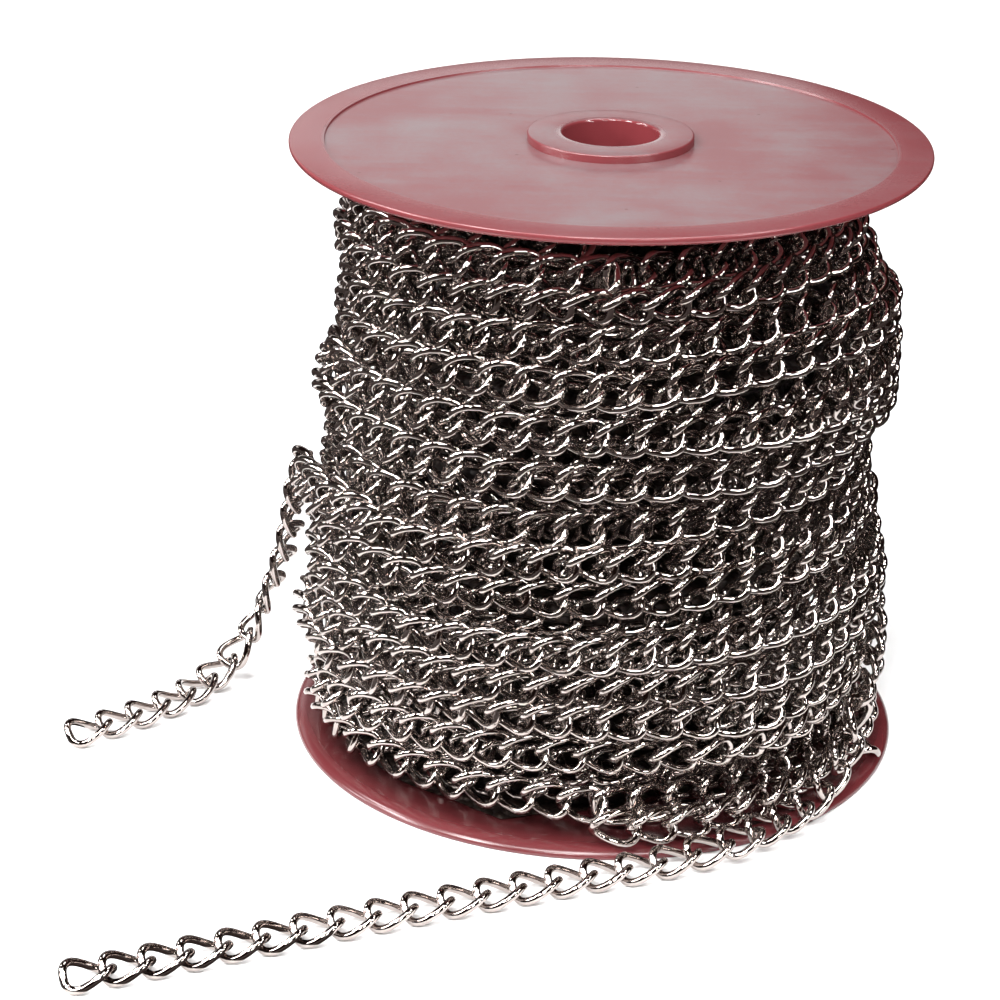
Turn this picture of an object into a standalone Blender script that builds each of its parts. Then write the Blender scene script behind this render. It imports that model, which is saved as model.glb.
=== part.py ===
# A red plastic reel wound with steel curb chain, with two loose strands of the chain lying beside it.
# The reel stands on its lower flange. The origin is on the floor, on the reel's axis, and +Z is up.
# Metres throughout.

import bpy
from math import cos, floor, pi, radians, sin
from mathutils import Matrix, Vector

# Driving dimensions
MM = 0.001
GAP = 0.3 * MM                  # between pieces that touch

REEL_DIAMETER = 200 * MM        # across the flanges
REEL_HEIGHT = 200 * MM          # rim face to rim face
BORE_DIAMETER = 30 * MM         # takes the spindle of a reel stand
BARREL_DIAMETER = 60 * MM
PLASTIC_WALL = 2.5 * MM         # barrel, sleeve and spigot

RIM_THICKNESS = 3.2 * MM
OUTER_EDGE_RADIUS = 0.6 * MM    # between the rim face and the rim's side
INNER_EDGE_RADIUS = 2.4 * MM    # between the rim's side and the face that the chain lies against
EDGE_TURNS = (0, 30, 60, 90)    # degrees round an edge where its outline has a point
RIM_BAND = 11 * MM              # raised band round the outside of a flange
RECESS_DEPTH = 0.6 * MM
HUB_DIAMETER = 52 * MM          # boss round the bore
TOP_HUB_PROUD = 2.0 * MM        # above the rim band; the lower hub is level with its band
BORE_CHAMFER = 0.8 * MM
SLEEVE_DEPTH = 20 * MM          # of the bore's wall below a flange
SPIGOT_DEPTH = 12 * MM          # of the ring that centres the barrel

WIRE_DIAMETER = 2.5 * MM
CHAIN_PITCH = 11.4 * MM         # from one link to the next, and a link's inside length
LINK_WIDTH = 13.2 * MM
LINK_TWIST = radians(43)        # each end is turned this far, so that all links lie alike
LINK_FULLNESS = 2.8             # of the oval: 2 is an ellipse, and more is squarer
LINK_SLACK = 0.35 * MM          # between two links where they bear on each other

WINDING_CORE_RADIUS = 68 * MM   # of the hidden turns
# Outline of the winding on its left, at the front and on its right: height and radius, in millimetres.
# Its back is as its front.
LEFT_OUTLINE = ((10, 93), (28, 95), (50, 97), (80, 96), (88, 96), (96, 93.5), (113, 91), (124, 92.5),
                (134, 90), (147, 85.5), (160, 82.5), (175, 79.5), (193, 77.5))
FRONT_OUTLINE = ((10, 88), (28, 91), (50, 94), (66, 94.5), (83, 91), (104, 89.5), (120, 91), (134, 92),
                 (151, 89), (162, 85), (175, 79.5), (193, 77))
RIGHT_OUTLINE = ((10, 89), (28, 89), (42, 91), (54, 96), (64, 94), (72, 95), (80, 92), (90, 86.5),
                 (103, 89), (119, 91), (130, 96), (147, 95.5), (157, 90), (165, 85), (178, 80), (193, 77.5))
OUTLINE_BLEND = 1.5             # power of the cosine that mixes a side's outline with the front's
# Height of each of the outermost turns at the front, in millimetres. A turn goes down as it goes round
# and steps to the next at the back.
TURN_HEIGHTS = (188, 174, 162, 151, 133.5, 120, 105, 94, 83.5, 66, 52, 41, 29, 12)
TURN_SUNK = 0.8 * MM            # from the outline, where single links reach, in to a turn's crest
TURN_CREST = 3 * MM             # half the height of a turn's crest
TURN_GROOVE = 2 * MM            # depth of the hollow between two turns

LIE_FLAT_BELOW = 4 * MM         # a link's centre lower than this lies flat on the floor
FRONT_AGAINST_ABOVE = 20 * MM   # and higher than this it lies flat against the winding
BACK_AGAINST_ABOVE = 88 * MM

# Middle line of each loose strand, in millimetres, from where it leaves the winding to its last link
FRONT_ROUTE = (
    (86.0, -39.4, 26.6), (84.9, -42.2, 21.0), (82.4, -46.7, 16.2), (78.8, -53.0, 12.2), (74.6, -60.8, 9.4),
    (68.4, -70.8, 7.2), (61.6, -79.2, 6.5), (54.8, -86.1, 6.4), (48.9, -91.9, 6.3), (42.4, -97.0, 5.9),
    (35.9, -100.5, 5.2), (29.2, -103.5, 4.5), (22.5, -106.5, 3.9), (13.0, -110.4, 3.75), (2.0, -114.9, 3.75),
    (-18.0, -123.5, 3.75), (-41.0, -133.6, 3.75), (-70.0, -146.7, 3.75), (-91.0, -156.6, 3.75),
    (-112.0, -166.5, 3.75), (-132.0, -175.8, 3.75), (-148.6, -183.2, 3.75))
BACK_ROUTE = (
    (-98.1, 2.8, 87), (-100.4, 9.1, 76.5), (-102.0, 14.7, 64), (-104.0, 18.4, 53.5), (-106.6, 21.0, 44.2),
    (-109.8, 22.5, 35), (-113.2, 22.4, 26.4), (-117.0, 20.6, 18), (-121.2, 17.0, 11.2), (-126.0, 11.8, 6.6),
    (-130.9, 4.2, 4.3), (-136.4, -5.0, 3.75), (-142.8, -13.4, 3.75), (-150.4, -21.4, 3.75),
    (-158.9, -28.8, 3.75), (-167.6, -35.7, 3.75), (-175.5, -41.8, 3.75))

FLANGE_STEPS = 48
BARREL_STEPS = 32
WINDING_STEPS = 48
LINK_POINTS = 16
LINK_SIDES_RESOLUTION = 1       # six sides round the wire

# Worked out from the dimensions above
RIM_RADIUS = REEL_DIAMETER / 2
INSIDE_LOW = RIM_THICKNESS
INSIDE_HIGH = REEL_HEIGHT - RIM_THICKNESS
BARREL_RADIUS = BARREL_DIAMETER / 2
SPIGOT_RADIUS = BARREL_RADIUS - PLASTIC_WALL - GAP


def clear_scene():
    for old in list(bpy.data.objects):
        bpy.data.objects.remove(old, do_unlink=True)


def make_material(name, colour, roughness, metallic):
    material = bpy.data.materials.new(name)
    material.use_nodes = True
    shader = material.node_tree.nodes["Principled BSDF"]
    shader.inputs["Base Color"].default_value = (*colour, 1)
    shader.inputs["Roughness"].default_value = roughness
    shader.inputs["Metallic"].default_value = metallic
    return material


def turned(name, profile, steps, collection, material):
    """A closed outline of (radius, height) points turned about the Z axis."""
    mesh = bpy.data.meshes.new(name)
    points = [(radius, 0, height) for radius, height in profile]
    edges = [(i, (i + 1) % len(points)) for i in range(len(points))]
    mesh.from_pydata(points, edges, [])
    piece = bpy.data.objects.new(name, mesh)
    collection.objects.link(piece)
    screw = piece.modifiers.new("Turn", "SCREW")
    screw.axis = "Z"
    screw.angle = 2 * pi
    screw.steps = screw.render_steps = steps
    screw.use_merge_vertices = True
    screw.merge_threshold = 0.00005
    screw.use_smooth_shade = False
    mesh.materials.append(material)
    return piece


def rounded_edge(centre_height, edge_radius, start):
    """Points round an edge of the rim, clockwise from an angle in degrees."""
    centre_radius = RIM_RADIUS - edge_radius
    return [(centre_radius + edge_radius * cos(radians(start - turn)),
             centre_height + edge_radius * sin(radians(start - turn))) for turn in EDGE_TURNS]


def flange_profile(hub_proud, spigot):
    """Outline of a flange lying with its outer face up and its rim face at height 0."""
    hub = HUB_DIAMETER / 2
    bore = BORE_DIAMETER / 2
    band = RIM_RADIUS - RIM_BAND
    inner = -RIM_THICKNESS
    outside = [
        (bore + BORE_CHAMFER, hub_proud), (hub, hub_proud), (hub, -RECESS_DEPTH),
        (band - RECESS_DEPTH, -RECESS_DEPTH), (band, 0)]
    outside += rounded_edge(-OUTER_EDGE_RADIUS, OUTER_EDGE_RADIUS, 90)
    outside += rounded_edge(inner + INNER_EDGE_RADIUS, INNER_EDGE_RADIUS, 0)
    inside = [
        (spigot, inner), (spigot, inner - SPIGOT_DEPTH),
        (spigot - PLASTIC_WALL, inner - SPIGOT_DEPTH), (spigot - PLASTIC_WALL, inner),
        (bore + PLASTIC_WALL, inner), (bore + PLASTIC_WALL, inner - SLEEVE_DEPTH),
        (bore, inner - SLEEVE_DEPTH), (bore, hub_proud - BORE_CHAMFER)]
    return outside + inside


def make_reel(collection, material):
    upper = [(r, REEL_HEIGHT + z) for r, z in flange_profile(TOP_HUB_PROUD, SPIGOT_RADIUS)]
    turned("top_flange", upper, FLANGE_STEPS, collection, material)
    lower = [(r, -z) for r, z in reversed(flange_profile(0, SPIGOT_RADIUS))]
    turned("bottom_flange", lower, FLANGE_STEPS, collection, material)
    low = INSIDE_LOW + GAP
    high = INSIDE_HIGH - GAP
    wall = BARREL_RADIUS - PLASTIC_WALL
    barrel = [(wall, high), (BARREL_RADIUS, high), (BARREL_RADIUS, low), (wall, low)]
    turned("barrel", barrel, BARREL_STEPS, collection, material)


def between(table, place):
    """Value at a place in a table of rising (place, value) pairs."""
    if place <= table[0][0]:
        return table[0][1]
    for (place_a, value_a), (place_b, value_b) in zip(table, table[1:]):
        if place <= place_b:
            return value_a + (value_b - value_a) * (place - place_a) / (place_b - place_a)
    return table[-1][1]


def outline_radius(azimuth, height):
    """Radius of the winding at an azimuth and height: a blend of its outlines."""
    side = between(RIGHT_OUTLINE if cos(azimuth) > 0 else LEFT_OUTLINE, height / MM)
    front = between(FRONT_OUTLINE, height / MM)
    share = abs(cos(azimuth)) ** OUTLINE_BLEND
    return (side * share + front * (1 - share)) * MM


def turn_heights(azimuth):
    """Height of each turn at an azimuth. The turns go down clockwise, as seen from above."""
    past_front = 0.5 - ((azimuth / (2 * pi) + 0.75) % 1)
    numbered = list(enumerate(TURN_HEIGHTS))
    return [between(numbered, number + past_front) * MM for number in range(len(TURN_HEIGHTS))]


def winding_section(azimuth):
    """Outline of the winding at an azimuth: a rounded ridge for each turn, with a hollow between each two."""
    low = INSIDE_LOW + GAP
    high = INSIDE_HIGH - GAP
    heights = turn_heights(azimuth)

    def crest(height):
        return outline_radius(azimuth, height) - TURN_SUNK

    points = [(crest(high) - TURN_GROOVE, high)]
    for number, height in enumerate(heights):
        above = heights[number - 1] if number else high
        below = heights[number + 1] if number + 1 < len(heights) else low
        points.append((crest(height), height + min(TURN_CREST, (above - height) / 4)))
        points.append((crest(height), height - min(TURN_CREST, (height - below) / 4)))
        if number + 1 < len(heights):
            points.append((crest((height + below) / 2) - TURN_GROOVE, (height + below) / 2))
    points.append((crest(low) - TURN_GROOVE, low))
    inner = WINDING_CORE_RADIUS + GAP
    return [(inner, high)] + points + [(inner, low)]


def lofted(name, sections, collection, material):
    """Closed outlines of (radius, height) points, one at each of the even steps round the Z axis, joined up."""
    steps = len(sections)
    count = len(sections[0])
    points = [(radius * cos(2 * pi * step / steps), radius * sin(2 * pi * step / steps), height)
              for step, section in enumerate(sections) for radius, height in section]
    faces = []
    for step in range(steps):
        here = step * count
        there = (step + 1) % steps * count
        for i in range(count):
            j = (i + 1) % count
            faces.append((here + i, there + i, there + j))
            faces.append((here + i, there + j, here + j))
    mesh = bpy.data.meshes.new(name)
    mesh.from_pydata(points, [], [face[::-1] for face in faces])
    piece = bpy.data.objects.new(name, mesh)
    collection.objects.link(piece)
    mesh.materials.append(material)
    return piece


def make_winding(collection, material):
    low = INSIDE_LOW + GAP
    high = INSIDE_HIGH - GAP
    hole = BARREL_RADIUS + GAP
    core = [(hole, high), (WINDING_CORE_RADIUS, high), (WINDING_CORE_RADIUS, low), (hole, low)]
    turned("winding_core", core, BARREL_STEPS, collection, material)
    sections = [winding_section(2 * pi * step / WINDING_STEPS) for step in range(WINDING_STEPS)]
    lofted("winding_outer_turns", sections, collection, material)


def smooth_point(points, place):
    """Point at a place along a smooth curve through the points, counted in points."""
    last = len(points) - 1
    before = min(int(floor(place)), last - 1)
    t = place - before
    p1 = points[before]
    p2 = points[before + 1]
    p0 = points[before - 1] if before > 0 else p1 * 2 - p2
    p3 = points[before + 2] if before + 2 <= last else p2 * 2 - p1
    return 0.5 * (2 * p1 + (p2 - p0) * t + (2 * p0 - 5 * p1 + 4 * p2 - p3) * t ** 2
                  + (3 * p1 - p0 - 3 * p2 + p3) * t ** 3)


def joints_along(route):
    """Points a pitch apart along the route, where one link bears on the next."""
    points = [Vector(point) * MM for point in route]
    joints = [points[0]]
    step = 0.002
    place = 0.0
    while place + step <= len(points) - 1:
        place += step
        here = smooth_point(points, place)
        if (here - joints[-1]).length >= CHAIN_PITCH:
            joints.append(here)
    return joints


def lying_direction(place, against_above):
    """Which way a link's flat side faces: up on the floor, outwards beside the winding."""
    share = (place.z - LIE_FLAT_BELOW) / (against_above - LIE_FLAT_BELOW)
    turn = radians(90) * min(max(share, 0), 1)
    outward = Vector((place.x, place.y, 0)).normalized()
    return Vector((0, 0, 1)) * cos(turn) + outward * sin(turn)


def link_curve(material):
    """A closed ring of round wire, an oval twisted about its own long axis."""
    half_length = (CHAIN_PITCH + LINK_SLACK + WIRE_DIAMETER) / 2
    half_width = (LINK_WIDTH - WIRE_DIAMETER) / 2
    power = 2 / LINK_FULLNESS
    curve = bpy.data.curves.new("chain_link", "CURVE")
    curve.dimensions = "3D"
    curve.bevel_depth = WIRE_DIAMETER / 2
    curve.bevel_resolution = LINK_SIDES_RESOLUTION
    spline = curve.splines.new("POLY")
    spline.points.add(LINK_POINTS - 1)
    spline.use_cyclic_u = True
    spline.use_smooth = True
    for number, point in enumerate(spline.points):
        angle = 2 * pi * number / LINK_POINTS
        along = (abs(cos(angle)) ** power) * (1 if cos(angle) >= 0 else -1)
        across = (abs(sin(angle)) ** power) * (1 if sin(angle) >= 0 else -1)
        twist = -LINK_TWIST * along
        x = half_length * along
        y = half_width * across * cos(twist)
        z = half_width * across * sin(twist)
        point.co = (x, y, z, 1)
    curve.materials.append(material)
    return curve


def make_strand(name, route, against_above, curve, collection):
    joints = joints_along(route)
    for number, (start, end) in enumerate(zip(joints, joints[1:]), 1):
        middle = (start + end) / 2
        along = (end - start).normalized()
        facing = lying_direction(middle, against_above)
        facing = (facing - along * facing.dot(along)).normalized()
        across = facing.cross(along)
        turn = Matrix((along, across, facing)).transposed().to_4x4()
        link = bpy.data.objects.new(f"{name}_{number:02d}", curve)
        link.matrix_world = Matrix.Translation(middle) @ turn
        collection.objects.link(link)


def main():
    clear_scene()
    collection = bpy.data.collections.new("reel_of_chain")
    bpy.context.scene.collection.children.link(collection)
    plastic = make_material("red_plastic", (0.42, 0.10, 0.10), 0.35, 0)
    steel = make_material("nickel_plated_steel", (0.72, 0.69, 0.66), 0.18, 1)
    make_reel(collection, plastic)
    make_winding(collection, steel)
    curve = link_curve(steel)
    make_strand("front_link", FRONT_ROUTE, FRONT_AGAINST_ABOVE, curve, collection)
    make_strand("back_link", BACK_ROUTE, BACK_AGAINST_ABOVE, curve, collection)


main()
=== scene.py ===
# A red plastic reel wound with nickel-plated curb chain, with two loose strands, on a pale floor.
from math import cos, floor, pi, radians, sin

import bpy
import numpy as np
from mathutils import Matrix, Vector


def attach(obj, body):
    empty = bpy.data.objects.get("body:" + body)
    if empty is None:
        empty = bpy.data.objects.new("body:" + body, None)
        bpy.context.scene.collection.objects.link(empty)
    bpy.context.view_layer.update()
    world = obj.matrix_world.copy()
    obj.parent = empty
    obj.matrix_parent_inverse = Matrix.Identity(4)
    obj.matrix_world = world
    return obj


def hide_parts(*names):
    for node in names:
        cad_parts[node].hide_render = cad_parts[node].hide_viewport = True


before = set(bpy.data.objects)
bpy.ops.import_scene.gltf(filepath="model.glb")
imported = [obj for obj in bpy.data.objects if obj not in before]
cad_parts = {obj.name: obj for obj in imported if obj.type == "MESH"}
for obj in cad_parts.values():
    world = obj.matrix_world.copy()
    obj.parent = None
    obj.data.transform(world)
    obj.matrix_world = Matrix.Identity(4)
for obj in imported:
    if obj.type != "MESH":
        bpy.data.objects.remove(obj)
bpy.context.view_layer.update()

mm = 0.001


def toLinear(hexColour):     # sRGB hex to the linear colour that a shader takes
    values = [int(hexColour[i:i + 2], 16) / 255 for i in (1, 3, 5)]
    linear = [v / 12.92 if v <= 0.04045 else ((v + 0.055) / 1.055) ** 2.4 for v in values]
    return (*linear, 1)


# One node with its settings, its input values, and links from other nodes' outputs
def addNode(tree, kind, settings=None, inputs=None, links=None):
    node = tree.nodes.new(kind)
    for name, value in (settings or {}).items():
        setattr(node, name, value)
    for name, value in (inputs or {}).items():
        node.inputs[name].default_value = value
    for name, (other, output) in (links or {}).items():
        tree.links.new(other.outputs[output], node.inputs[name])
    return node


# Camera: fitted to the rims and the bore of the reel
cameraSetup = {
    "place": (0.0, -0.8657, 0.4492),
    "yaw": -2.14, "pitch": -23.29, "roll": 1.06,     # degrees
    "focalPixels": 2871.3, "imagePixels": 1000, "sensor": 36,
}


def makeCamera(setup):
    yaw, pitch, roll = (radians(setup[name]) for name in ("yaw", "pitch", "roll"))
    ahead = Vector((sin(yaw) * cos(pitch), cos(yaw) * cos(pitch), sin(pitch)))
    level = Vector((cos(yaw), -sin(yaw), 0))
    upright = level.cross(ahead)
    right = level * cos(roll) + upright * sin(roll)
    up = upright * cos(roll) - level * sin(roll)
    camera = bpy.data.objects.new("camera", bpy.data.cameras.new("camera"))
    bpy.context.scene.collection.objects.link(camera)
    turned = Matrix((right, up, -ahead)).transposed().to_4x4()
    camera.matrix_world = Matrix.Translation(setup["place"]) @ turned
    camera.data.sensor_width = setup["sensor"]
    camera.data.lens = setup["focalPixels"] / setup["imagePixels"] * setup["sensor"]
    camera.data.clip_start = 0.01
    camera.data.clip_end = 20
    bpy.context.scene.camera = camera


makeCamera(cameraSetup)
print("camera placed")


# Nickel-plated steel wire, drawn and bright plated
nickelPlate = {
    "colour": "#BFB7B3", "shade": "#988D88",          # plate, and where it is thinner or dulled
    "roughness": 0.06, "duller": 1.4, "brighter": 0.7,     # and times these on the patches and off them
    "dullPatch": 4.0,        # mm across
    "drawLine": 0.5,         # mm between the die lines, drawn coarse enough to show
    "lineDepth": 0.05, "lineStrength": 0.08,          # mm, and how much of it shows
}


def makeNickelPlate(look):     # bright metal to the eye: hard highlights with dark between them
    material = bpy.data.materials.new("nickelPlatedSteelWire")
    material.use_nodes = True
    tree = material.node_tree
    shader = tree.nodes["Principled BSDF"]
    shader.inputs["Metallic"].default_value = 1.0
    place = addNode(tree, "ShaderNodeTexCoord")
    patches = addNode(tree, "ShaderNodeTexNoise", links={"Vector": (place, "Object")},
                      inputs={"Scale": 1 / (look["dullPatch"] * mm), "Detail": 3.0})
    tint = addNode(tree, "ShaderNodeMix", {"data_type": "RGBA"},
                   links={"Factor": (patches, "Fac")})
    tint.inputs["A"].default_value = toLinear(look["shade"])
    tint.inputs["B"].default_value = toLinear(look["colour"])
    tree.links.new(tint.outputs["Result"], shader.inputs["Base Color"])
    gloss = addNode(tree, "ShaderNodeMapRange", links={"Value": (patches, "Fac")},
                    inputs={"To Min": look["roughness"] * look["duller"],
                            "To Max": look["roughness"] * look["brighter"]})
    tree.links.new(gloss.outputs["Result"], shader.inputs["Roughness"])
    lines = addNode(tree, "ShaderNodeTexNoise", links={"Vector": (place, "Object")},
                    inputs={"Scale": 1 / (look["drawLine"] * mm), "Detail": 2.0})
    relief = addNode(tree, "ShaderNodeBump", links={"Height": (lines, "Fac")},
                     inputs={"Strength": look["lineStrength"], "Distance": look["lineDepth"] * mm})
    tree.links.new(relief.outputs["Normal"], shader.inputs["Normal"])
    return material


nickel = makeNickelPlate(nickelPlate)


# One link: an oval of round wire, twisted about its long axis so that all links lie alike
link = {
    "wire": 2.5, "pitch": 11.4, "width": 13.2, "slack": 0.35,     # mm
    "twist": 43.0,           # degrees at each end
    "fullness": 2.8,         # 2 is an ellipse, more is squarer
}


# Vertices in mm and faces of one link, lying along X with its flat side up
def linkShape(points, sideResolution):
    halfLength = (link["pitch"] + link["slack"] + link["wire"]) / 2
    halfWidth = (link["width"] - link["wire"]) / 2
    power = 2 / link["fullness"]
    curve = bpy.data.curves.new("linkLine", "CURVE")
    curve.dimensions = "3D"
    curve.bevel_depth = link["wire"] / 2
    curve.bevel_resolution = sideResolution
    spline = curve.splines.new("POLY")
    spline.points.add(points - 1)
    spline.use_cyclic_u = True
    for number, point in enumerate(spline.points):
        angle = 2 * pi * number / points
        along = np.sign(cos(angle)) * abs(cos(angle)) ** power
        across = np.sign(sin(angle)) * abs(sin(angle)) ** power
        turn = -radians(link["twist"]) * along
        point.co = (halfLength * along, halfWidth * across * cos(turn), halfWidth * across * sin(turn), 1)
    guide = bpy.data.objects.new("linkLine", curve)
    bpy.context.scene.collection.objects.link(guide)
    bpy.context.view_layer.update()
    mesh = bpy.data.meshes.new_from_object(guide.evaluated_get(bpy.context.evaluated_depsgraph_get()))
    vertices = np.empty(len(mesh.vertices) * 3)
    mesh.vertices.foreach_get("co", vertices)
    faces = np.array([list(face.vertices) for face in mesh.polygons])
    bpy.data.objects.remove(guide)
    bpy.data.curves.remove(curve)
    bpy.data.meshes.remove(mesh)
    return vertices.reshape(-1, 3), faces


# One mesh with a link at each frame: middle in mm, and directions along, across and out of the flat side
def chainPiece(name, frames, shape, material):
    vertices, faces = shape
    middles, along, across, facing = frames
    axes = np.stack([along, across, facing], axis=1)
    placed = np.einsum("vk,lkx->lvx", vertices, axes) + middles[:, None, :]
    allFaces = faces[None] + (np.arange(len(middles)) * len(vertices))[:, None, None]
    mesh = bpy.data.meshes.new(name)
    mesh.from_pydata(placed.reshape(-1, 3) * mm, [], allFaces.reshape(-1, 4).tolist())
    mesh.shade_smooth()
    mesh.materials.append(material)
    piece = bpy.data.objects.new(name, mesh)
    bpy.context.scene.collection.objects.link(piece)
    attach(piece, "root")
    return piece


def normalised(vectors):
    return vectors / np.linalg.norm(vectors, axis=-1, keepdims=True)


# Link frames from the points where one link bears on the next, and a facing direction for each link
def framesBetween(joints, facing):
    middles = (joints[1:] + joints[:-1]) / 2
    along = normalised(joints[1:] - joints[:-1])
    facing = normalised(facing - along * (facing * along).sum(axis=1, keepdims=True))
    across = np.cross(facing, along)
    return middles, along, across, facing


# Loose strands: middle lines in mm, from where each leaves the winding to its last link
strands = {
    "frontStrand": {
        "route": (
            (86.0, -39.4, 26.6), (84.9, -42.2, 21.0), (82.4, -46.7, 16.2), (78.8, -53.0, 12.2),
            (74.6, -60.8, 9.4), (68.4, -70.8, 7.2), (61.6, -79.2, 6.5), (54.8, -86.1, 6.4),
            (48.9, -91.9, 6.3), (42.4, -97.0, 5.9), (35.9, -100.5, 5.2), (29.2, -103.5, 4.5),
            (22.5, -106.5, 3.9), (13.0, -110.4, 3.75), (2.0, -114.9, 3.75), (-18.0, -123.5, 3.75),
            (-41.0, -133.6, 3.75), (-70.0, -146.7, 3.75), (-91.0, -156.6, 3.75),
            (-112.0, -166.5, 3.75), (-132.0, -175.8, 3.75), (-148.6, -183.2, 3.75)),
        "lieFlatBelow": 4.0, "lieAgainstAbove": 20.0,     # mm, of a link's middle
        "nodes": "front_link"},
    "backStrand": {
        "route": (
            (-98.1, 2.8, 87), (-100.4, 9.1, 76.5), (-102.0, 14.7, 64), (-104.0, 18.4, 53.5),
            (-106.6, 21.0, 44.2), (-109.8, 22.5, 35), (-113.2, 22.4, 26.4), (-117.0, 20.6, 18),
            (-121.2, 17.0, 11.2), (-126.0, 11.8, 6.6), (-130.9, 4.2, 4.3), (-136.4, -5.0, 3.75),
            (-142.8, -13.4, 3.75), (-150.4, -21.4, 3.75), (-158.9, -28.8, 3.75),
            (-167.6, -35.7, 3.75), (-175.5, -41.8, 3.75)),
        "lieFlatBelow": 4.0, "lieAgainstAbove": 88.0, "nodes": "back_link"},
}


# Point at a place along a smooth curve through the points, counted in points
def smoothPoint(points, place):
    last = len(points) - 1
    before = min(int(floor(place)), last - 1)
    t = place - before
    p1, p2 = points[before], points[before + 1]
    p0 = points[before - 1] if before > 0 else p1 * 2 - p2
    p3 = points[before + 2] if before + 2 <= last else p2 * 2 - p1
    return 0.5 * (2 * p1 + (p2 - p0) * t + (2 * p0 - 5 * p1 + 4 * p2 - p3) * t ** 2
                  + (3 * p1 - p0 - 3 * p2 + p3) * t ** 3)


def strandJoints(route):     # points a pitch apart along the route
    points = [np.array(point, float) for point in route]
    joints = [points[0]]
    step = 0.002         # of the way from one route point to the next
    place = 0.0
    while place + step <= len(points) - 1:
        place += step
        here = smoothPoint(points, place)
        if np.linalg.norm(here - joints[-1]) >= link["pitch"]:
            joints.append(here)
    return np.array(joints)


def strandFacing(middles, strand):     # up on the floor, turning to face outwards beside the winding
    low, high = strand["lieFlatBelow"], strand["lieAgainstAbove"]
    turn = np.clip((middles[:, 2] - low) / (high - low), 0, 1) * radians(90)
    outward = middles * (1, 1, 0)
    return np.cos(turn)[:, None] * (0, 0, 1) + np.sin(turn)[:, None] * normalised(outward)


def makeStrand(name, strand, shape):
    joints = strandJoints(strand["route"])
    facing = strandFacing((joints[1:] + joints[:-1]) / 2, strand)
    piece = chainPiece(name, framesBetween(joints, facing), shape, nickel)
    count = len(joints) - 1
    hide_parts(*(f"{strand['nodes']}_{number:02d}" for number in range(1, count + 1)))
    return count


fineLink = linkShape(32, 4)
for strandName, strandFacts in strands.items():
    print(strandName, makeStrand(strandName, strandFacts, fineLink), "links")


# Winding: the chain is laid turn upon turn on the hidden turns, each where the ones below let it lie
winding = {
    "low": 3.5, "high": 196.5,                # mm, between the flanges
    "halfWidth": 6.6, "halfThickness": 2.6,   # of the chain as it beds on other turns
    "depth": 18.0,                            # from the hidden turns to the outer surface, at first
    "trials": 5, "blendReach": 6,             # the hidden turns are shaped again until the outside fits
    # Height of each turn of the outermost layer at the front, from the upper flange down
    "turns": (190, 184, 174, 162, 151, 133.5, 120, 105, 94, 83.5, 66, 52, 41, 29, 12, 10.5),
    "proud": 4.6,                             # how far single links stand out from the even surface
    # Height and radius of the finished winding on its left, at the front and on its right
    "left": ((10, 93), (28, 95), (50, 97), (80, 96), (88, 96), (96, 93.5), (113, 91), (124, 92.5),
             (134, 90), (147, 85.5), (160, 82.5), (175, 79.5), (193, 77.5)),
    "front": ((10, 88), (28, 91), (50, 94), (66, 94.5), (83, 91), (104, 89.5), (120, 91), (134, 92),
              (151, 89), (162, 85), (175, 79.5), (193, 77)),
    "right": ((10, 89), (28, 89), (42, 91), (54, 96), (64, 94), (72, 95), (80, 92), (90, 86.5), (103, 89),
              (119, 91), (130, 96), (147, 95.5), (157, 90), (165, 85), (178, 80), (193, 77.5)),
    "outlinePower": 1.5,                      # of the cosine that mixes a side's outline with the front's
    "columns": 240, "cell": 0.8,              # samples round the winding, and mm between them in height
    "steepest": 0.35,                         # mm of rise from one sample to the next
    "bedding": 0.8, "mostLean": 0.65,         # share of the slope below that a turn takes up, and radians
    "slopeSpan": 11, "levelSpan": 7,          # samples over which slope and level are evened
    "wander": 2.0, "wanderLength": 30,        # mm up and down, over so many samples
    "lean": -10.0,                            # degrees, the lower edge outwards
    "roll": 14.0, "rollLength": 24,           # degrees
    "jitter": 7.0,                            # degrees of roll from one link to the next
    "seed": 4,
}

# Where each strand comes from: azimuth and height of its last stretch on the winding, up to its start
leads = {
    "frontStrand": ((24, 45), (10, 42), (-6, 37), (-16, 32.5), (-24.6, 26.6)),
    "backStrand": ((222, 95), (205, 93), (190, 90), (178.4, 87)),
}
leadEnds = {"sinkOver": 14, "sinkDepth": 2.5, "joinOver": 12}     # samples, half thicknesses, samples


# Random values between -1 and 1 that change smoothly over the given spacing
def smoothNoise(count, spacing, seed):
    random = np.random.RandomState(seed)
    knots = random.uniform(-1, 1, int(count / spacing) + 4)
    place = np.arange(count) / spacing
    before = place.astype(int)
    t = place - before
    ease = t * t * (3 - 2 * t)
    return knots[before] * (1 - ease) + knots[before + 1] * ease


# Radius of the finished winding: a blend between its outlines on the left, at the front and on the right
def targetRadius(angle, height):
    left, front, right = (np.interp(height, *zip(*winding[side])) for side in ("left", "front", "right"))
    share = np.abs(np.cos(angle)) ** winding["outlinePower"]
    return np.where(np.cos(angle) > 0, right, left) * share + front * (1 - share)


# Mean of each value's neighbours along a run
def smoothed(values, span):
    return np.convolve(np.pad(values, span // 2, mode="edge"), np.ones(span) / span, mode="valid")


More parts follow.
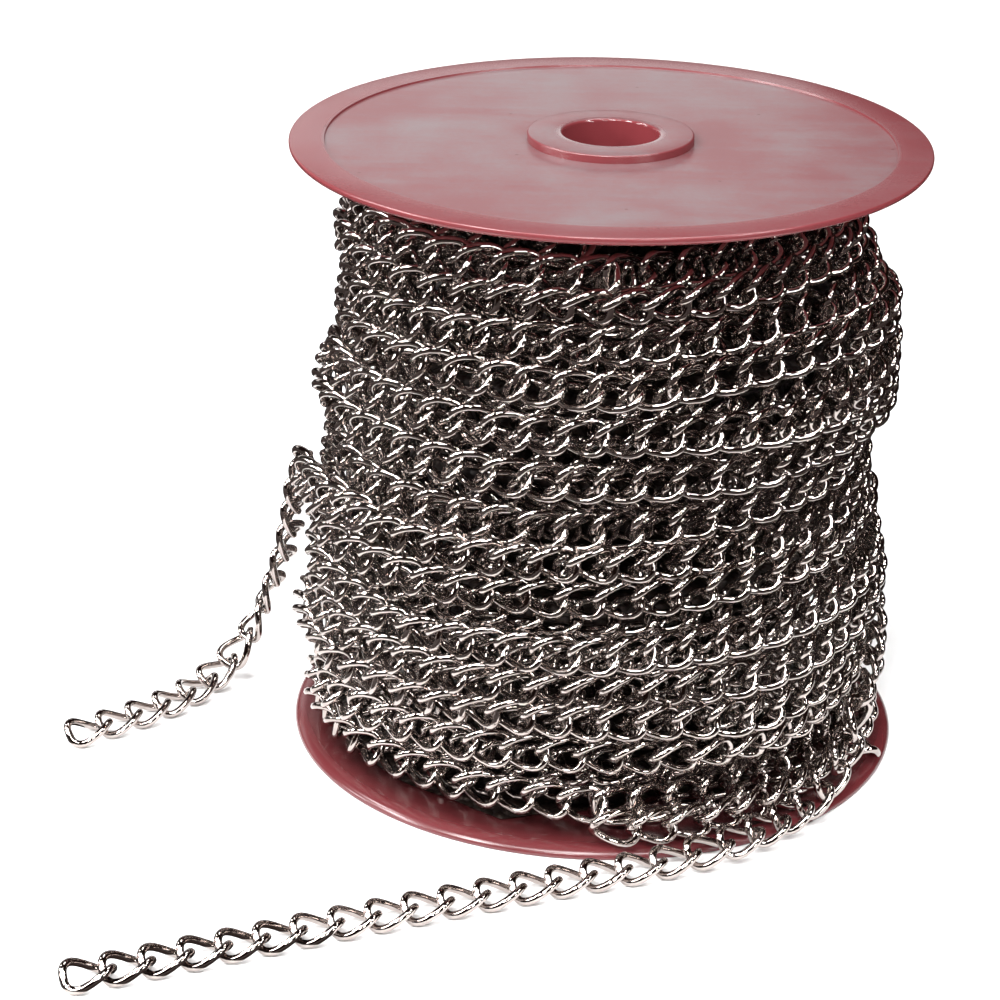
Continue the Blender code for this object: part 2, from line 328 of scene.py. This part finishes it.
# Lays a run of chain on the surface, a radius for each column and height, and builds the surface up
# under it. The run goes clockwise from the start column, one column a sample. Gives its radius, tilt
# and column.
def layTurns(surface, heights, start, rollNoise):
    columns, cell = winding["columns"], winding["cell"]
    offsets = np.arange(-winding["halfWidth"], winding["halfWidth"] + 0.01, winding["halfWidth"] / 8)
    bulge = winding["halfThickness"] * np.sqrt(np.clip(1 - (offsets / winding["halfWidth"]) ** 2, 0, 1))
    total = len(heights)
    column = (start - np.arange(total)) % columns
    radius, tilt = np.zeros(total), np.zeros(total)
    ahead = 24         # samples that each round looks at beyond its end
    steepest, mostLean = winding["steepest"], winding["mostLean"]
    for first in range(0, total, columns):
        last = min(first + columns, total)
        part = np.arange(first, min(last + ahead, total))
        place = (heights[part, None] + offsets - winding["low"]) / cell
        place = np.clip(place, 0, surface.shape[1] - 1.001)
        below = place.astype(int)
        share = place - below
        under = (surface[column[part, None], below] * (1 - share)
                 + surface[column[part, None], below + 1] * share)
        slope = ((under - under.mean(axis=1, keepdims=True)) * offsets).sum(axis=1) / (offsets ** 2).sum()
        slope = smoothed(slope, winding["slopeSpan"])
        lean = np.clip(np.arctan(slope) * winding["bedding"] + rollNoise[part], -mostLean, mostLean)
        contact = (under - offsets * np.tan(lean)[:, None] + bulge).max(axis=1)
        level = contact.copy()
        if first:
            level[0] = max(level[0], radius[first - 1] - steepest)
        for i in range(1, len(level)):
            level[i] = max(level[i], level[i - 1] - steepest)
        for i in range(len(level) - 2, -1, -1):
            level[i] = max(level[i], level[i + 1] - steepest)
        level = smoothed(level, winding["levelSpan"])
        keep = last - first
        radius[first:last] = level[:keep]
        tilt[first:last] = lean[:keep]
        for i in range(keep):
            spots = np.round(place[i]).astype(int)
            top = level[i] + offsets * np.tan(lean[i]) + bulge
            surface[column[first + i], spots] = np.maximum(surface[column[first + i], spots], top)
    return radius, tilt, column


# Link frames along a laid run, a pitch apart, counted from its end
def linksAlong(heights, radius, tilt, column):
    angle = np.unwrap(column * 2 * pi / winding["columns"])
    radial = np.stack([np.cos(angle), np.sin(angle), np.zeros(len(angle))], axis=1)
    points = (radial * radius[:, None] + heights[:, None] * (0, 0, 1))[::-1]
    facing = (radial * np.cos(tilt)[:, None] - np.sin(tilt)[:, None] * (0, 0, 1))[::-1]
    length = np.concatenate([[0], np.cumsum(np.linalg.norm(np.diff(points, axis=0), axis=1))])
    spots = np.arange(0, length[-1], link["pitch"])
    joints = np.stack([np.interp(spots, length, points[:, axis]) for axis in range(3)], axis=1)[::-1]
    middle = (spots[1:] + spots[:-1]) / 2
    outward = np.stack([np.interp(middle, length, facing[:, axis]) for axis in range(3)], axis=1)[::-1]
    middles, along, across, facing = framesBetween(joints, outward)
    random = np.random.RandomState(winding["seed"])
    roll = radians(winding["jitter"]) * random.uniform(-1, 1, (len(middles), 1))
    return (middles, along, across * np.cos(roll) - facing * np.sin(roll),
            facing * np.cos(roll) + across * np.sin(roll))


# Height of the chain at each sample of a layer of turns, with the wander of turns wound by hand
def layerHeights(turns, seed):
    total = (len(turns) - 1) * winding["columns"]
    even = np.interp(np.arange(total) / winding["columns"], np.arange(len(turns)), turns)
    even += winding["wander"] * smoothNoise(total, winding["wanderLength"], seed)
    return np.clip(even, winding["low"] + winding["halfWidth"], winding["high"] - winding["halfWidth"])


def layWinding(hidden):
    surface = hidden.copy()
    turns = np.array(winding["turns"], float)
    between = (turns[1:] + turns[:-1]) / 2
    front = winding["columns"] * 3 // 4
    seed = winding["seed"]
    runs = {}
    layers = {"deepTurns": layerHeights(turns, seed), "innerTurns": layerHeights(between, seed + 1),
              "outerTurns": layerHeights(turns, seed + 2)}
    for name, heights in layers.items():
        seed += 3
        noise = radians(winding["roll"]) * smoothNoise(len(heights), winding["rollLength"], seed)
        noise += radians(winding["lean"])
        runs[name] = linksAlong(heights, *layTurns(surface, heights, front, noise))
    return surface, runs


# Mean of each spot's neighbours round and up the winding
def evened(field, reach):
    total = np.zeros_like(field)
    padded = np.pad(field, ((0, 0), (reach, reach)), mode="edge")
    for shift in range(2 * reach + 1):
        total += padded[:, shift:shift + field.shape[1]]
    wide = np.zeros_like(field)
    for shift in range(-2 * reach, 2 * reach + 1):
        wide += np.roll(total, shift, axis=0)
    return wide / (2 * reach + 1) / (4 * reach + 1)


def makeWinding():
    angles = np.arange(winding["columns"]) * 2 * pi / winding["columns"]
    levels = np.arange(winding["low"], winding["high"] + winding["cell"], winding["cell"])
    target = targetRadius(angles[:, None], levels[None, :]) - winding["proud"]
    hidden = target - winding["depth"]
    for trial in range(winding["trials"]):
        surface, runs = layWinding(hidden)
        if trial < winding["trials"] - 1:
            hidden -= evened(surface - target, winding["blendReach"])
    return surface, hidden, runs


# The stretch of chain that leads to a strand: it comes up from between the turns and ends where the
# strand starts
def makeLead(surface, table, start):
    columns = winding["columns"]
    first, last = (round(table[i][0] / 360 * columns) for i in (0, -1))
    spots = np.arange(first, last - 1, -1)
    azimuths, heights = zip(*reversed(table))
    heights = np.interp(spots * 360 / columns, azimuths, heights)
    radius, tilt, column = layTurns(surface, heights, first % columns, np.zeros(len(spots)))
    sink = np.clip(1 - np.arange(len(spots)) / leadEnds["sinkOver"], 0, 1) ** 2
    near = np.clip(1 - np.arange(len(spots))[::-1] / leadEnds["joinOver"], 0, 1)
    radius -= leadEnds["sinkDepth"] * winding["halfThickness"] * sink
    radius += (np.hypot(start[0], start[1]) - radius) * near
    heights += (start[2] - heights) * near
    return linksAlong(heights, radius, tilt * (1 - near), column)


wound, hiddenRadius, turns = makeWinding()
for strandName, table in leads.items():
    turns[strandName] = makeLead(wound, table, strands[strandName]["route"][0])
coarseLink = linkShape(16, 1)
plainLink = linkShape(20, 1)
mediumLink = linkShape(26, 2)
chainPiece("deepTurns", turns["deepTurns"], coarseLink, nickel)
chainPiece("innerTurns", turns["innerTurns"], plainLink, nickel)
half = len(turns["outerTurns"][0]) // 2
upper = chainPiece("outerTurnsUpper", [part[:half] for part in turns["outerTurns"]], mediumLink, nickel)
chainPiece("outerTurnsLower", [part[half:] for part in turns["outerTurns"]], mediumLink, nickel)
bothLeads = [np.concatenate(parts) for parts in zip(turns["frontStrand"], turns["backStrand"])]
chainPiece("strandLeads", bothLeads, fineLink, nickel)


# The end link of an inner length, which lies on the lower flange and points outwards
endLink = {"radius": 92.4, "azimuth": -21.0, "height": 6.95}     # mm, degrees, mm


def makeEndLink(facts):
    azimuth = radians(facts["azimuth"])
    outward = np.array([[cos(azimuth), sin(azimuth), 0.0]])
    middle = outward * facts["radius"] + (0, 0, facts["height"])
    up = np.array([[0.0, 0.0, 1.0]])
    chainPiece("endLink", (middle, outward, np.cross(up, outward), up), fineLink, nickel)


makeEndLink(endLink)
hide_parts("winding_outer_turns")
print("winding laid:", sum(len(run[0]) for run in turns.values()), "links")


# Hidden turns: a dark body under the laid turns, which only shows between the links. Its near-black
# colour is painted shade, with a painted glint on each wire bump
hiddenTurns = {
    "colour": "#0A0706", "paintedGlint": "#2E211B", "roughness": 0.45,
    "under": 1.0, "hole": 31.0,         # mm below the laid turns, and radius round the barrel
    "wires": 3.0, "wireDepth": 1.2,     # mm from one wire to the next, and deep
    "rowStep": 3,                       # surface samples from one row of vertices to the next
}


def makeSteelInShadow(look):     # plated wires out of the light: painted shade, brown-black, with painted glints
    material = bpy.data.materials.new("steelTurnsInShadow")
    material.use_nodes = True
    tree = material.node_tree
    shader = tree.nodes["Principled BSDF"]
    shader.inputs["Metallic"].default_value = 0.6
    shader.inputs["Roughness"].default_value = look["roughness"]
    place = addNode(tree, "ShaderNodeTexCoord")
    wires = addNode(tree, "ShaderNodeTexVoronoi", inputs={"Scale": 1 / (look["wires"] * mm)},
                    links={"Vector": (place, "Object")})
    # painted glint on the middle of each wire bump, painted shade between them
    tint = addNode(tree, "ShaderNodeMix", {"data_type": "RGBA"}, links={"Factor": (wires, "Distance")})
    tint.inputs["A"].default_value = toLinear(look["paintedGlint"])
    tint.inputs["B"].default_value = toLinear(look["colour"])
    tree.links.new(tint.outputs["Result"], shader.inputs["Base Color"])
    relief = addNode(tree, "ShaderNodeBump", {"invert": True}, links={"Height": (wires, "Distance")},
                     inputs={"Strength": 1.0, "Distance": look["wireDepth"] * mm})
    tree.links.new(relief.outputs["Normal"], shader.inputs["Normal"])
    return material


def makeHiddenTurns(look):
    columns = winding["columns"]
    rows = range(0, hiddenRadius.shape[1], look["rowStep"])
    heights = np.linspace(winding["low"], winding["high"], hiddenRadius.shape[1])
    hole = look["hole"]
    vertices, faces = [], []
    for i in range(columns):
        angle = 2 * pi * i / columns
        section = [(hole, heights[0])] + [(hiddenRadius[i, j] - look["under"], heights[j]) for j in rows]
        section.append((hole, heights[rows[-1]]))
        vertices += [(r * cos(angle) * mm, r * sin(angle) * mm, z * mm) for r, z in section]
    count = len(rows) + 2
    for i in range(columns):
        after = (i + 1) % columns
        for j in range(count):
            k = (j + 1) % count
            faces.append((i * count + j, after * count + j, after * count + k, i * count + k))
    mesh = bpy.data.meshes.new("hiddenTurns")
    mesh.from_pydata(vertices, [], faces)
    mesh.materials.append(makeSteelInShadow(look))
    piece = bpy.data.objects.new("hiddenTurns", mesh)
    bpy.context.scene.collection.objects.link(piece)
    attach(piece, "root")
    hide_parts("winding_core")


makeHiddenTurns(hiddenTurns)
print("hidden turns made")


# Reel: moulded polystyrene, dark red, with a grey film on top that is partly dust and partly a painted
# sheen, most of all inside the rim band
reelPlastic = {
    "colour": "#722F33", "deep": "#64282C", "dustAndSheen": "#6A6567",
    "roughness": 0.30, "bandRoughness": 0.26, "lowRoughness": 0.22,     # the lower flange is cleaner
    "band": (89.0, 90.0),                           # mm from the axis, where the rim band starts
    "cloud": 45.0, "streak": 4.0, "mottle": 1.4,    # mm across
    "dustAndSheenLeast": 0.25, "dustAndSheenMost": 0.75,
    "bandDustAndSheen": 0.4, "dustAndSheenAbove": 190.0,            # share of it on the band, and mm above the floor
    "polished": (15.9, 17.5), "polish": 0.12,       # round the bore, by the spindle
    "paintedShadeColour": "#1E0A0A", "paintedShade": (90.0, 97.5),        # painted shade on the low faces, darkest near the winding
    "paintedShadeBelow": 10.0, "paintedShadeMost": 0.8, "paintedShadeLeast": 0.33,
    "grain": 0.5, "grainDepth": 0.03,               # mm, of the mould, drawn coarse enough to show
    "scuff": "#54292C", "scuffApart": 55.0, "scuffSize": 0.010,     # mm, and size as a share of that
}


def makeRedPlastic(look):     # hard satin shine; the clouded, greyish film on top is partly dust and partly a painted sheen
    material = bpy.data.materials.new("redMouldedPolystyrene")
    material.use_nodes = True
    tree = material.node_tree
    shader = tree.nodes["Principled BSDF"]
    shader.inputs["IOR"].default_value = 1.59
    place = addNode(tree, "ShaderNodeTexCoord")
    flat = addNode(tree, "ShaderNodeVectorMath", {"operation": "MULTIPLY"}, {1: (1, 1, 0)},
                   {0: (place, "Object")})
    distance = addNode(tree, "ShaderNodeVectorMath", {"operation": "LENGTH"}, links={0: (flat, "Vector")})
    band = addNode(tree, "ShaderNodeMapRange", links={"Value": (distance, "Value")},
                   inputs={"From Min": look["band"][0] * mm, "From Max": look["band"][1] * mm})
    clouds = addNode(tree, "ShaderNodeTexNoise", links={"Vector": (place, "Object")},
                     inputs={"Scale": 1 / (look["cloud"] * mm), "Detail": 4.0, "Roughness": 0.55})
    drawn = addNode(tree, "ShaderNodeVectorMath", {"operation": "MULTIPLY"}, {1: (0.12, 1, 1)},
                    {0: (place, "Object")})
    streaks = addNode(tree, "ShaderNodeTexNoise", links={"Vector": (drawn, "Vector")},
                      inputs={"Scale": 1 / (look["streak"] * mm), "Detail": 4.0})
    large = addNode(tree, "ShaderNodeMath", {"operation": "MULTIPLY_ADD"}, {1: 0.3},
                    {0: (streaks, "Fac"), 2: (clouds, "Fac")})
    mottle = addNode(tree, "ShaderNodeTexNoise", links={"Vector": (place, "Object")},
                     inputs={"Scale": 1 / (look["mottle"] * mm), "Detail": 3.0, "Roughness": 0.6})
    small = addNode(tree, "ShaderNodeMath", {"operation": "SUBTRACT"}, {1: 0.5}, {0: (mottle, "Fac")})
    both = addNode(tree, "ShaderNodeMath", {"operation": "MULTIPLY_ADD"}, {1: 0.35},
                   {0: (small, "Value"), 2: (large, "Value")})
    # grey on the upward faces of the upper flange: partly dust, partly a painted sheen
    dustAndSheenCloud = addNode(tree, "ShaderNodeMapRange", links={"Value": (both, "Value")},
                    inputs={"From Min": 0.5, "From Max": 0.85,
                            "To Min": look["dustAndSheenLeast"], "To Max": look["dustAndSheenMost"]})
    inside = addNode(tree, "ShaderNodeMath", {"operation": "MULTIPLY_ADD"},
                     {1: look["bandDustAndSheen"] - 1, 2: 1.0}, {0: (band, "Result")})
    dustAndSheen = addNode(tree, "ShaderNodeMath", {"operation": "MULTIPLY"}, None,
                   {0: (dustAndSheenCloud, "Result"), 1: (inside, "Value")})
    upward = addNode(tree, "ShaderNodeNewGeometry")
    facing = addNode(tree, "ShaderNodeSeparateXYZ", links={"Vector": (upward, "Normal")})
    settled = addNode(tree, "ShaderNodeMapRange", links={"Value": (facing, "Z")},
                      inputs={"From Min": 0.7, "From Max": 1.0})
    lying = addNode(tree, "ShaderNodeMath", {"operation": "MULTIPLY"}, None,
                    {0: (dustAndSheen, "Value"), 1: (settled, "Result")})
    level = addNode(tree, "ShaderNodeSeparateXYZ", links={"Vector": (place, "Object")})
    upper = addNode(tree, "ShaderNodeMath", {"operation": "GREATER_THAN"}, {1: look["dustAndSheenAbove"] * mm},
                    {0: (level, "Z")})
    dustAndSheenOnTop = addNode(tree, "ShaderNodeMath", {"operation": "MULTIPLY"}, None,
                        {0: (lying, "Value"), 1: (upper, "Value")})
    red = addNode(tree, "ShaderNodeMix", {"data_type": "RGBA"}, links={"Factor": (clouds, "Fac")})
    red.inputs["A"].default_value = toLinear(look["deep"])
    red.inputs["B"].default_value = toLinear(look["colour"])
    tint = addNode(tree, "ShaderNodeMix", {"data_type": "RGBA"},
                   links={"Factor": (dustAndSheenOnTop, "Value"), "A": (red, "Result")})
    tint.inputs["B"].default_value = toLinear(look["dustAndSheen"])
    # painted shade: the faces below the given height are darkened, most of all near the winding
    near = addNode(tree, "ShaderNodeMapRange", links={"Value": (distance, "Value")},
                   inputs={"From Min": look["paintedShade"][0] * mm, "From Max": look["paintedShade"][1] * mm,
                           "To Min": look["paintedShadeMost"], "To Max": look["paintedShadeLeast"]})
    below = addNode(tree, "ShaderNodeMath", {"operation": "LESS_THAN"}, {1: look["paintedShadeBelow"] * mm},
                    {0: (level, "Z")})
    paintedShadeAmount = addNode(tree, "ShaderNodeMath", {"operation": "MULTIPLY"}, None,
                   {0: (near, "Result"), 1: (below, "Value")})
    paintedShade = addNode(tree, "ShaderNodeMix", {"data_type": "RGBA"},
                    links={"Factor": (paintedShadeAmount, "Value"), "A": (tint, "Result")})
    paintedShade.inputs["B"].default_value = toLinear(look["paintedShadeColour"])
    spots = addNode(tree, "ShaderNodeTexVoronoi", {"voronoi_dimensions": "2D"},
                    {"Scale": 1 / (look["scuffApart"] * mm)}, {"Vector": (place, "Object")})
    scuffs = addNode(tree, "ShaderNodeMath", {"operation": "LESS_THAN"}, {1: look["scuffSize"]},
                     {0: (spots, "Distance")})
    scuffed = addNode(tree, "ShaderNodeMix", {"data_type": "RGBA"},
                      links={"Factor": (scuffs, "Value"), "A": (paintedShade, "Result")})
    scuffed.inputs["B"].default_value = toLinear(look["scuff"])
    tree.links.new(scuffed.outputs["Result"], shader.inputs["Base Color"])
    gloss = addNode(tree, "ShaderNodeMapRange", links={"Value": (band, "Result")},
                    inputs={"To Min": look["roughness"], "To Max": look["bandRoughness"]})
    wiped = addNode(tree, "ShaderNodeMix", links={"Factor": (below, "Value"), "A": (gloss, "Result")},
                    inputs={"B": look["lowRoughness"]})
    rubbed = addNode(tree, "ShaderNodeMapRange",
                     links={"Value": (distance, "Value"), "To Max": (wiped, "Result")},
                     inputs={"From Min": look["polished"][0] * mm, "From Max": look["polished"][1] * mm,
                             "To Min": look["polish"]})
    tree.links.new(rubbed.outputs["Result"], shader.inputs["Roughness"])
    grain = addNode(tree, "ShaderNodeTexNoise", links={"Vector": (place, "Object")},
                    inputs={"Scale": 1 / (look["grain"] * mm), "Detail": 2.0})
    relief = addNode(tree, "ShaderNodeBump", links={"Height": (grain, "Fac")},
                     inputs={"Strength": 0.2, "Distance": look["grainDepth"] * mm})
    tree.links.new(relief.outputs["Normal"], shader.inputs["Normal"])
    return material


redPlastic = makeRedPlastic(reelPlastic)

# Flanges, in mm: "height" is from rim face to rim face, "hub" and "bore" are radii
flange = {
    "height": 200.0, "radius": 100.0, "rim": 3.2, "outerEdge": 0.6, "innerEdge": 2.4, "innerReach": 4.5,
    "band": 11.0, "recess": 0.6, "slope": 0.2,
    "hub": 26.0, "hubProud": 2.0, "hubEdge": 0.6, "bore": 15.0, "chamfer": 0.9, "wall": 2.5,
    "sleeve": 20.0, "steps": 256,
}


# Points on an arc in the (radius, height) plane
def arc(centre, radius, fromDegrees, toDegrees, points=5):
    for i in range(points):
        angle = radians(fromDegrees + (toDegrees - fromDegrees) * i / (points - 1))
        yield centre[0] + radius * cos(angle), centre[1] + radius * sin(angle)


# Outline of a flange with its outer face up and its rim face at height 0, run down its outer side
def flangeProfile(hubProud):
    outer, rim = flange["radius"], flange["rim"]
    outerEdge, innerEdge = flange["outerEdge"], flange["innerEdge"]
    hub, bore, hubEdge = flange["hub"], flange["bore"], flange["hubEdge"]
    chamfer = flange["chamfer"]
    band = outer - flange["band"]
    recess = -flange["recess"]
    points = list(arc((bore + chamfer, hubProud - chamfer), chamfer, 180, 90, 6))
    points += arc((hub - hubEdge, hubProud - hubEdge), hubEdge, 90, 0)
    points += [(hub, recess), (band - flange["slope"], recess), (band, 0)]
    points += arc((outer - outerEdge, -outerEdge), outerEdge, 90, 0)
    reach = flange["innerReach"]
    points += [(outer - reach + reach * cos(turn), innerEdge - rim - innerEdge * sin(turn))
               for turn in np.linspace(0, pi / 2, 12)]
    points += [(bore + flange["wall"], -rim), (bore + flange["wall"], -rim - flange["sleeve"]),
               (bore, -rim - flange["sleeve"])]
    return points


def lathe(name, profile, steps):     # a closed outline turned about the Z axis
    count = len(profile)
    vertices = [(r * cos(2 * pi * i / steps) * mm, r * sin(2 * pi * i / steps) * mm, z * mm)
                for i in range(steps) for r, z in profile]
    faces = [(i * count + j, i * count + (j + 1) % count, (i + 1) % steps * count + (j + 1) % count,
              (i + 1) % steps * count + j) for i in range(steps) for j in range(count)]
    mesh = bpy.data.meshes.new(name)
    mesh.from_pydata(vertices, [], faces)
    mesh.shade_smooth()
    mesh.set_sharp_from_angle(angle=radians(35))
    piece = bpy.data.objects.new(name, mesh)
    bpy.context.scene.collection.objects.link(piece)
    return piece


def makeFlanges():
    height = flange["height"]
    upperProfile = [(r, height + z) for r, z in flangeProfile(flange["hubProud"])]
    lowerProfile = [(r, -z) for r, z in reversed(flangeProfile(0.0))]
    for name, profile, node in (("topFlange", upperProfile, "top_flange"),
                                ("bottomFlange", lowerProfile, "bottom_flange")):
        piece = lathe(name, profile, flange["steps"])
        piece.data.materials.append(redPlastic)
        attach(piece, "root")
        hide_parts(node)


makeFlanges()
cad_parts["barrel"].data.materials.clear()
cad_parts["barrel"].data.materials.append(redPlastic)
print("reel made")


# Studio: a white floor in a dark room. Small strong lights give the metal its glints, a wide low one
# behind the reel gives the plastic its sheen, and a black card on the floor shows only in reflections.
studio = {
    "floor": "#F4F4F4", "size": 3.0, "room": "#20130F", "roomStrength": 1.0,
    "card": {"colour": "#20130F", "inside": 0.17, "outside": 6.0, "height": 0.002},
    "aim": (0, 0, 0.1),
    # Azimuth and elevation in degrees, distance and size in m, power in W
    "lights": {
        "keyLight": (-138, 40, 2.2, (0.45, 0.8), 36),
        "leftPanel": (-178, 25, 2.2, (1.0, 1.0), 4.5),
        "topLight": (60, 70, 2.0, (0.6, 0.6), 12),
        "overLight": (-94, 62, 1.8, (0.3, 0.9), 18),
        "rightLight": (-35, 30, 2.0, (0.2, 0.2), 8),
        "frontLight": (-100, 38, 1.9, (0.15, 0.15), 8),
        "backLight": (118, 17.5, 2.3, (3.0, 0.42), 5.4),
    },
    # Small lamps round the room: azimuth, elevation, power
    "lampDistance": 2.0, "lampSize": 0.25,
    "lamps": ((-172, 34, 14), (-158, 18, 10), (-150, 56, 9), (-118, 60, 7), (-60, 56, 8), (165, 45, 8),
              (-20, 50, 10), (178, 14, 6), (-75, 24, 6), (-45, 14, 5)),
}


def makePlain(name, colour, roughness):
    material = bpy.data.materials.new(name)
    material.use_nodes = True
    shader = material.node_tree.nodes["Principled BSDF"]
    shader.inputs["Base Color"].default_value = toLinear(colour)
    shader.inputs["Roughness"].default_value = roughness
    return material


def makeCard(facts):     # a flat ring round the reel, out of the camera's sight
    steps = 64
    vertices = [(r * cos(2 * pi * i / steps), r * sin(2 * pi * i / steps), facts["height"])
                for i in range(steps) for r in (facts["inside"], facts["outside"])]
    faces = [(2 * i, 2 * i + 1, (2 * i + 3) % (2 * steps), (2 * i + 2) % (2 * steps))
             for i in range(steps)]
    mesh = bpy.data.meshes.new("blackCard")
    mesh.from_pydata(vertices, [], faces)
    mesh.materials.append(makePlain("blackCard", facts["colour"], 1.0))     # a dark room in the metal
    card = bpy.data.objects.new("blackCard", mesh)
    bpy.context.scene.collection.objects.link(card)
    card.visible_camera = card.visible_diffuse = card.visible_shadow = card.visible_transmission = False


def makeLight(name, facts, aim):
    azimuth, elevation, distance, size, power = facts
    light = bpy.data.lights.new(name, "AREA")
    light.shape = "RECTANGLE"
    light.size, light.size_y = size
    light.energy = power
    lamp = bpy.data.objects.new(name, light)
    bpy.context.scene.collection.objects.link(lamp)
    azimuth, elevation = radians(azimuth), radians(elevation)
    direction = Vector((cos(azimuth) * cos(elevation), sin(azimuth) * cos(elevation), sin(elevation)))
    lamp.location = Vector(aim) + direction * distance
    lamp.rotation_euler = direction.to_track_quat("Z", "Y").to_euler()


def makeStudio(setup):
    bpy.ops.mesh.primitive_plane_add(size=setup["size"] * 2)
    floorPlane = bpy.context.object
    floorPlane.name = "floor"
    floorPlane.data.materials.append(makePlain("matteWhitePaper", setup["floor"], 0.9))     # no shine
    makeCard(setup["card"])
    world = bpy.data.worlds.new("room")
    bpy.context.scene.world = world
    world.use_nodes = True
    background = world.node_tree.nodes["Background"]
    background.inputs["Color"].default_value = toLinear(setup["room"])
    background.inputs["Strength"].default_value = setup["roomStrength"]
    for name, facts in setup["lights"].items():
        makeLight(name, facts, setup["aim"])
    size = (setup["lampSize"], setup["lampSize"])
    for number, (azimuth, elevation, power) in enumerate(setup["lamps"], 1):
        facts = (azimuth, elevation, setup["lampDistance"], size, power)
        makeLight(f"smallLamp{number}", facts, setup["aim"])
    bpy.context.scene.view_settings.view_transform = "Standard"
    bpy.context.scene.view_settings.look = "None"


makeStudio(studio)
print("studio lit")
